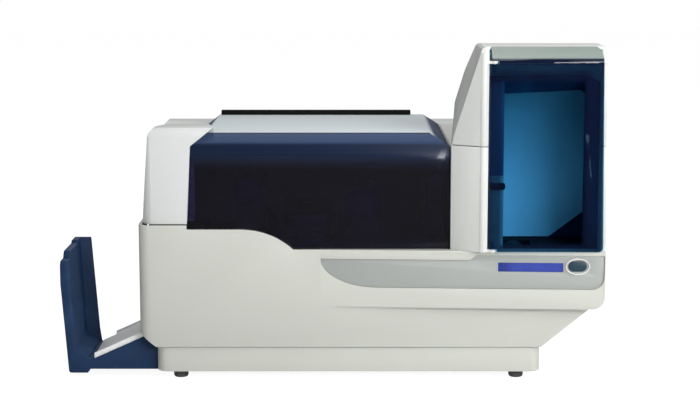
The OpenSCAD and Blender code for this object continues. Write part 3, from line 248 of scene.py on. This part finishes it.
def smoked_window():
    """Smoked acrylic, dark, glossy and partly clear low down and blue higher up, with a painted
    reflection on its shoulder.
    """
    m = Material("smoked_window", Specular_IOR_Level=0.2, Coat_Roughness=0.04)
    depth = m.minus(high("lid_window").z, m.axis("Z"))
    blue, painted_shoulder_reflection = m.past(depth, 0, 30, 13), m.past(depth, 0, 8.6, 5)
    pale, flat_top = m.past(depth, 0, 3.4, 0.4), m.past(depth, 0, 1.2, 0.4)
    glossy, thin = m.past(depth, 0, 10, 20), m.past(depth, 0, 14, 27)
    grazing = m.between(m.add("ShaderNodeLayerWeight").outputs["Facing"], 0.45, 0.8)

    body = m.mix(m.noise(12, 2), srgb("252429"), srgb("2F2D33"))
    body = m.mix(blue, body, srgb("13223E"))
    # Painted reflection: a blue-grey band over the shoulder, and a pale sheen on the flat top where it
    # is seen at a grazing angle.
    body = m.mix(painted_shoulder_reflection, body, srgb("34486A"))
    painted_sheen = m.times(pale, grazing)
    m.colour(m.mix(painted_sheen, body, srgb("DCE5E8")))
    m.coat(m.times(glossy, 0.5))
    satin = m.times(m.minus(1.0, glossy), 0.4)
    m.uneven_gloss(m.noise(60, 4), least=m.plus(satin, 0.05), swing=0.05)
    m.bump(m.noise(5, 1), 0.6 * MM, strength=0.12)
    clear = m.plus(thin, m.times(flat_top, m.minus(1.0, grazing)))
    m.see_through(m.times(clear, 0.66), srgb("A0A0C8"))


def door_glass():
    """Clear blue acrylic under a glossy coat, darker round its rim, with a frosted slope on its top
    that has painted shade, darker towards its right.
    """
    m = Material("clear_blue_door", Specular_IOR_Level=0.2, Coat_Roughness=0.03)
    near, far = low("feeder_door"), high("feeder_door")
    slope = far.z - 9 * MM
    x, z = m.axis("X"), m.axis("Z")
    frosted, under_slope = m.past(z, slope, 0, 1.5), m.past(z, slope, -0.5, -5)
    inside_rim = m.times(
        m.times(m.past(x, near.x, 7, 11), m.past(x, far.x, -13, -17)),
        m.times(m.past(z, near.z, 3, 7), m.past(z, slope, -13, -18)),
    )
    rim_clear, middle_clearer = 0.53, 0.46

    body = m.mix(m.noise(10, 2), srgb("020D2A"), srgb("031234"))
    # Painted shade: the frosted slope's grey darkens from left to right.
    grey = m.mix(m.between(x, near.x, far.x), srgb("A8B2AC"), srgb("84908C"))
    m.colour(m.mix(frosted, body, m.mix(m.noise(30, 3), grey, srgb("98A49E"))))
    m.coat(m.times(m.minus(1.0, frosted), 0.5))
    m.uneven_gloss(m.noise(60, 4), least=m.times(frosted, 0.35), swing=0.05)
    m.bump(m.noise(4, 1), 0.5 * MM, strength=0.1)
    clear = m.plus(m.times(inside_rim, middle_clearer), rim_clear)
    m.see_through(m.times(under_slope, clear), srgb("C2ECFF"))


def guide_plate():
    """White guide plate at the back of the card bay, with painted shade from the bay's roof that
    darkens it towards its top.
    """
    m = Material("white_guide", Roughness=0.4)
    painted_roof_shade = m.past(m.axis("Z"), low("feeder_back_panel").z, 6.2, 116.2)
    # Painted shade: greyer towards the top, where the bay's roof shades the plate.
    m.colour(m.mix(painted_roof_shade, srgb("FAFCFF"), srgb("7A9096")))
    m.bump(m.noise(1800, 2), 0.03 * MM, strength=0.3)


def silver_panel():
    """Silver-grey painted plastic, faintly streaked from side to side."""
    m = Material("silver_panel", Metallic=0.15)
    m.colour(m.mix(m.noise(14, 3, stretch=(0.3, 1, 1)), srgb("ACB0AC"), srgb("BCC0BE")))
    m.uneven_gloss(m.noise(30, 4), least=0.34, swing=0.12)
    m.bump(m.noise(3000, 2), 0.03 * MM, strength=0.4)


def display_glass():
    """Blue display, a little darker at its left end."""
    m = Material("display_glass")
    dark_share = 0.35
    left, right = low("lcd_display").x, high("lcd_display").x
    lit = m.between(m.axis("X"), left, left + dark_share * (right - left))
    glow = m.mix(lit, srgb("2E3A86"), srgb("4453B0"))
    m.colour(m.mix(m.between(m.noise(40, 2), 0.3, 0.7), glow, srgb("3A4AA4")))
    m.uneven_gloss(m.noise(50, 3), least=0.08, swing=0.06)


def ribbon_film():
    """Violet dye film with fine streaks across it."""
    m = Material("ribbon_film", Specular_IOR_Level=0.6)
    m.colour(m.mix(m.noise(1200, 2, stretch=(1, 0.02, 1)), srgb("4A1F66"), srgb("6C3590")))
    m.uneven_gloss(m.noise(50, 3), least=0.2, swing=0.15)


def circuit_board():
    """Green board with raised tracks."""
    m = Material("circuit_board", Roughness=0.4)
    tracks = m.between(m.noise(420, 0, stretch=(1, 0.12, 1)), 0.48, 0.52)
    m.colour(m.mix(tracks, srgb("14502E"), srgb("1E6A3E")))
    m.bump(tracks, 0.04 * MM, strength=0.5)


# ---------------------------------------------------------------- the printer's materials
housing_plastic("housing_plastic", "DBDDD9", "E1E3E0")
housing_plastic("lower_housing_plastic", "CACCC4", "D0D2CA")
moulded("lid_plastic", "DFE1E0", roughness=0.42, variation=0.015)
moulded("black_plastic", "101012", roughness=0.6, variation=0.15, Specular_IOR_Level=0.08)
moulded("navy_plastic", "1A3558", roughness=0.5, variation=0.12, dust="4C7096", Specular_IOR_Level=0.25)
moulded("button_plastic", "2C4454", roughness=0.3, variation=0.1)
moulded("white_plastic", "F6F7F6", roughness=0.4, variation=0.01)
moulded("sticky_roller", "2C62B8", roughness=0.25, variation=0.06)
moulded("motor_metal", "2B2C2E", roughness=0.45, variation=0.1)
moulded("spool_plastic", "5A4788", roughness=0.4, variation=0.08)
rubber("foot_rubber", "5A5A58")
rubber("roller_rubber", "2A2A2C")
rubber("belt_rubber", "1C1C1E")
metal("frame_steel", "A6AAAE", roughness=0.38, streaks=(1, 1, 0.05))
metal("shaft_steel", "B4B8BC", roughness=0.28)
metal("bushing_bronze", "B08C50", roughness=0.35, streaks=(1, 1, 1))
metal("head_aluminium", "B6BABE", roughness=0.4)
smoked_window()
door_glass()
guide_plate()
silver_panel()
display_glass()
ribbon_film()
circuit_board()

# Nodes that the photo shows in another finish than their slot's.
OWN_FINISH = {
    "front_housing": "lower_housing_plastic",
    "base_pan": "lower_housing_plastic",
    "feeder_back_panel": "white_guide",
}


def finish_of(node):
    return FINISHES[OWN_FINISH.get(node, SLOT_OF[node])]


# ---------------------------------------------------------------- pieces
# The CAD nodes that get the small edge radii of a moulded piece, in millimetres.
RADII = {
    "front_housing": 1.1,
    "rear_cover": 1.1,
    "feeder_tower": 0.9,
    "tower_cap": 0.9,
    "base_pan": 0.8,
    "lid_frame": 0.9,
    "lid_window": 0.6,
    "lid_rear_lip": 0.4,
    "feeder_door": 0.4,
    "output_hopper": 0.8,
    "output_chute": 0.5,
    "control_panel": 0.3,
    "panel_button": 0.5,
    "exit_duct": 0.4,
    "feeder_liner": 0.4,
    "feeder_floor": 0.3,
    "gate_knob": 0.5,
    "print_head_arm": 0.5,
    "print_head": 0.3,
    "cleaning_cartridge": 0.5,
    "rear_connectors": 0.4,
    "power_switch": 0.4,
    "power_rocker": 0.3,
    "rubber_feet": 0.6,
}


def paint(node):
    """Gives a CAD node's own mesh its material."""
    materials = frame["nodes"][node].data.materials
    materials.clear()
    materials.append(finish_of(node))


def finish_mesh(bm, name):
    """A mesh with smooth curved faces and hard edges where its faces turn sharply."""
    sharp = math.radians(32)
    for face in bm.faces:
        face.smooth = True
    for edge in bm.edges:
        edge.smooth = edge.is_manifold and edge.calc_face_angle(0) < sharp
    mesh = bpy.data.meshes.new(name)
    bm.to_mesh(mesh)
    bm.free()
    return mesh


def place(mesh, name, body, material):
    """A new piece of the printer, on a CAD body."""
    piece = put(name, mesh)
    mesh.materials.append(material)
    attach(piece, body)
    return piece


def welded(node):
    """A copy of a CAD node's mesh, with its seams joined and its flat faces whole again."""
    bm = bmesh.new()
    bm.from_mesh(frame["nodes"][node].data)
    bmesh.ops.remove_doubles(bm, verts=bm.verts, dist=0.01 * MM)
    bmesh.ops.dissolve_limit(bm, angle_limit=math.radians(0.5), verts=bm.verts, edges=bm.edges)
    return bm


def soften(node, radius):
    """Puts a copy with rounded edges in a CAD node's place."""
    least_turn = math.radians(28)
    bm = welded(node)
    edges = [edge for edge in bm.edges if edge.is_manifold and edge.calc_face_angle(0) > least_turn]
    bmesh.ops.bevel(
        bm, geom=edges, offset=radius, offset_type="OFFSET", segments=2,
        profile=0.5, affect="EDGES", clamp_overlap=True,
    )
    mesh = finish_mesh(bm, node)
    piece = place(mesh, node + "_dressed", BODY_OF[node], finish_of(node))
    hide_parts(node)


def button_ring_painted_highlight():
    """An oval ring pressed into the panel round the button, in white plastic as a painted highlight."""
    gap = 0.9 * MM
    steps = 64
    # Round the ring's section, in millimetres: out from the gap, and back from the panel's front.
    section = ((0.7, 0.3), (0.7, -0.1), (0.35, -0.35), (0, -0.1), (0, 0.3))
    near, far = low("panel_button"), high("panel_button")
    middle = (near + far) / 2
    half_w, half_h = (far.x - near.x) / 2 + gap, (far.z - near.z) / 2 + gap
    front = low("control_panel").y
    bm = bmesh.new()

    def oval(out, back):
        angles = [math.tau * step / steps for step in range(steps)]
        return [
            bm.verts.new((
                middle.x + (half_w + out * MM) * math.cos(angle),
                front + back * MM,
                middle.z + (half_h + out * MM) * math.sin(angle),
            ))
            for angle in angles
        ]

    ovals = [oval(out, back) for out, back in section]
    for one, two in zip(ovals, ovals[1:] + ovals[:1]):
        for step in range(steps):
            after = (step + 1) % steps
            bm.faces.new((one[step], one[after], two[after], two[step]))
    bmesh.ops.recalc_face_normals(bm, faces=bm.faces)
    mesh = finish_mesh(bm, "button_ring_painted_highlight")
    # Its white is a painted highlight round the button.
    place(mesh, "button_ring_painted_highlight", BODY_OF["control_panel"], FINISHES["white_plastic"])


# ---------------------------------------------------------------- stage, light and camera
# Name, place, point aimed at, width and height, and power. Lengths are in metres, power in watts.
LAMPS = (
    ("key", (1.1, -1.05, 0.95), (0.1, 0, 0.1), (0.9, 0.8), 11.5),
    ("front", (0.5, -1.05, 0.47), (0.24, 0, 0.13), (0.4, 0.22), 4.6),
    ("top", (-0.3, -0.4, 1.5), (-0.15, 0, 0.05), (0.8, 0.8), 5.5),
    ("rim", (0.1, 1.2, 1.4), (0, 0, 0.15), (1.4, 0.6), 7),
)


def area_light(name, location, aim, size, power):
    data = bpy.data.lights.new(name, "AREA")
    data.shape = "RECTANGLE"
    data.size, data.size_y = size
    data.energy = power
    lamp = put(name, data)
    lamp.location = location
    lamp.rotation_euler = (Vector(aim) - Vector(location)).to_track_quat("-Z", "Y").to_euler()


def studio_world():
    """An even room light, which the camera sees as a white backdrop."""
    room_light, seen_by_camera = 0.22, 1.0
    world = bpy.data.worlds.new("studio")
    bpy.context.scene.world = world
    world.use_nodes = True
    tree = world.node_tree
    background = tree.nodes["Background"]
    background.inputs["Color"].default_value = (1, 1, 1, 1)
    rays = tree.nodes.new("ShaderNodeLightPath")
    strength = tree.nodes.new("ShaderNodeMapRange")
    strength.inputs["To Min"].default_value = room_light
    strength.inputs["To Max"].default_value = seen_by_camera
    tree.links.new(rays.outputs["Is Camera Ray"], strength.inputs["Value"])
    tree.links.new(strength.outputs["Result"], background.inputs["Strength"])


def pale_floor():
    """A pale floor, bright to the camera, with shadows on it, and dim in the pieces that mirror it."""
    half_side = 6
    glow_seen, glow_mirrored, glow_share = 1.3, 0.2, 0.72
    bm = bmesh.new()
    bmesh.ops.create_grid(bm, x_segments=1, y_segments=1, size=half_side)
    mesh = bpy.data.meshes.new("floor")
    bm.to_mesh(mesh)
    bm.free()
    floor = put("floor", mesh)

    m = Material("floor", Roughness=0.7)
    mesh.materials.append(m.block)
    m.colour(m.mix(m.noise(3), srgb("F4F4F4"), srgb("F8F8F8")))
    rays = m.add("ShaderNodeLightPath").outputs
    mirrored = rays["Is Glossy Ray"]
    seen = m.calc("MAXIMUM", rays["Is Camera Ray"], rays["Is Transmission Ray"])
    glow = m.add("ShaderNodeEmission")
    m.feed(glow.inputs["Strength"], m.minus(glow_seen, m.times(mirrored, glow_seen - glow_mirrored)))
    m.blend(m.calc("MAXIMUM", mirrored, m.times(seen, glow_share)), glow)


def camera():
    """The photograph's viewpoint: a long lens, a little above the printer and looking slightly down."""
    distance, height, across = 1.3195, 0.3193, 0.0147
    tilt = math.radians(8.8)
    data = bpy.data.cameras.new("camera")
    data.lens = 85.4
    data.sensor_width = 36
    view = put("camera", data)
    view.location = (across, -distance, height)
    view.rotation_euler = (math.radians(90) - tilt, 0, 0)
    bpy.context.scene.camera = view


# ---------------------------------------------------------------- the scene
for node in frame["nodes"]:
    paint(node)
for node, radius in RADII.items():
    soften(node, radius * MM)
button_ring_painted_highlight()

studio_world()
pale_floor()
for lamp in LAMPS:
    area_light(*lamp)
camera()
bpy.context.scene.view_settings.view_transform = "Standard"
